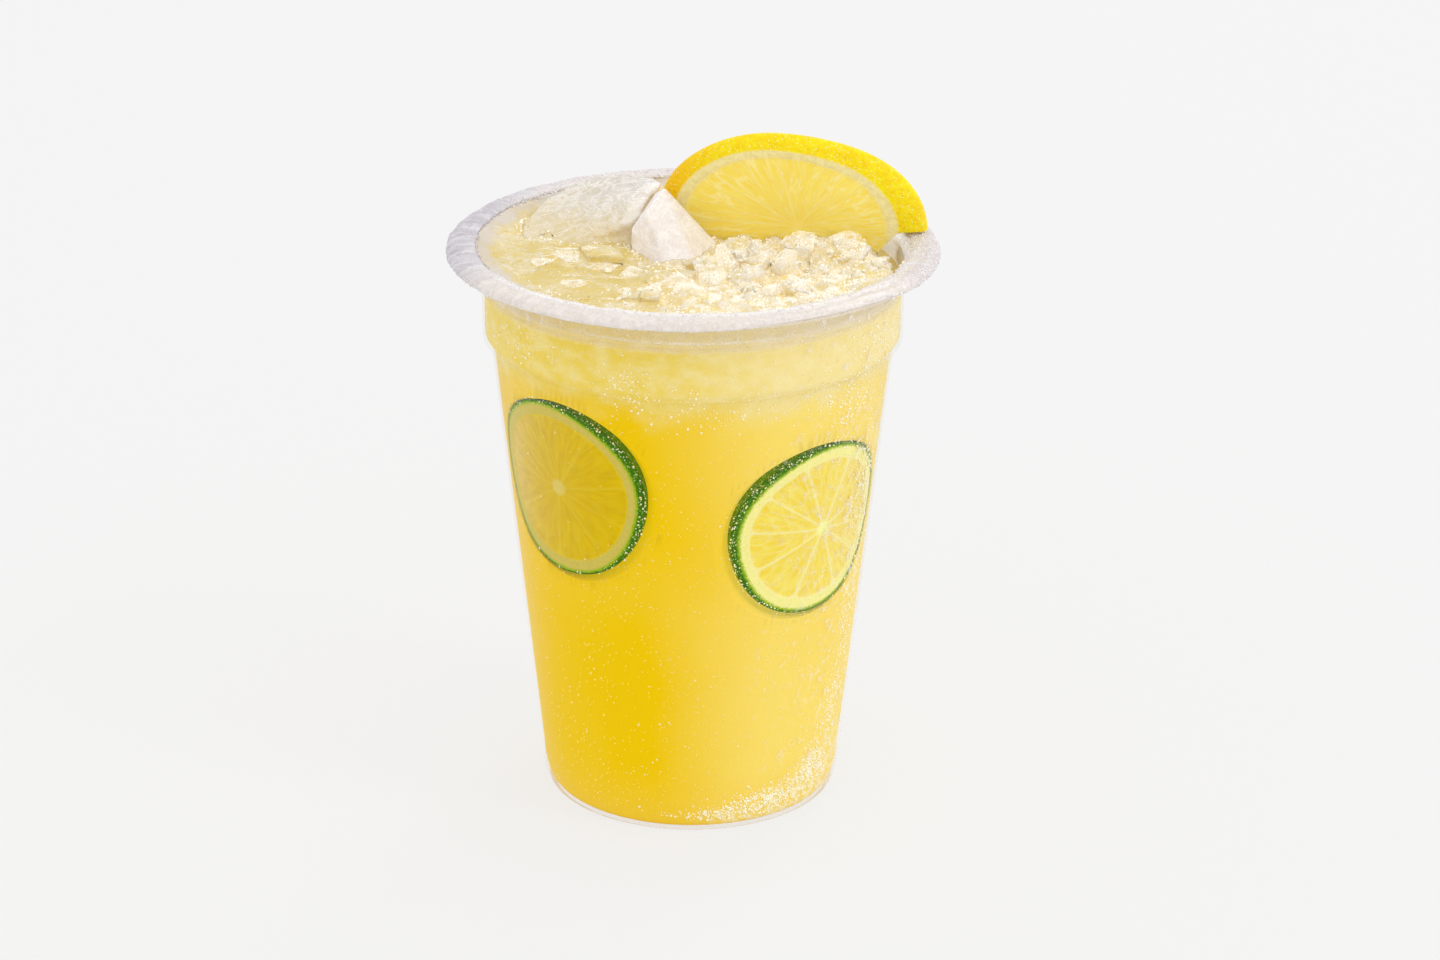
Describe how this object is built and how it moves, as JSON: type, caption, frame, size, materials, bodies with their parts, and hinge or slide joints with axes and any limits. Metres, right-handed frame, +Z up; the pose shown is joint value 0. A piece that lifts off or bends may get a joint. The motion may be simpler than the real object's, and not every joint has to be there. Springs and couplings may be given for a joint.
{
  "type": "lemonade",
  "caption": "Lemonade in a clear tapered plastic cup with a sugared rim, crushed ice, lime slices in the drink and a lemon slice standing in the ice.",
  "frame": {"origin": "centre of the foot ring, on the surface the cup stands on", "axes": "+Z up along the cup's axis; the front with the two lime slices looks along -Y; +X to the right seen from the front"},
  "size_m": [0.099, 0.0986, 0.1378],
  "materials": {
    "clear_plastic": "clear, glossy, thin",
    "sugar": "grainy white crystals",
    "lemonade": "cloudy yellow drink",
    "crushed_ice": "wet broken ice with drink between",
    "ice": "clear to frosty ice",
    "lemon": "waxy peel and wet flesh",
    "lime": "wet flesh with a dark green peel"
  },
  "bodies": {
    "root": {"cup": "clear_plastic", "sugar_rim": "sugar", "lemonade": "lemonade", "crushed_ice": "crushed_ice", "ice_block": "ice", "ice_slab": "ice", "lemon_slice": "lemon", "lime_slice_left": "lime", "lime_slice_right": "lime"}
  },
  "joints": []
}
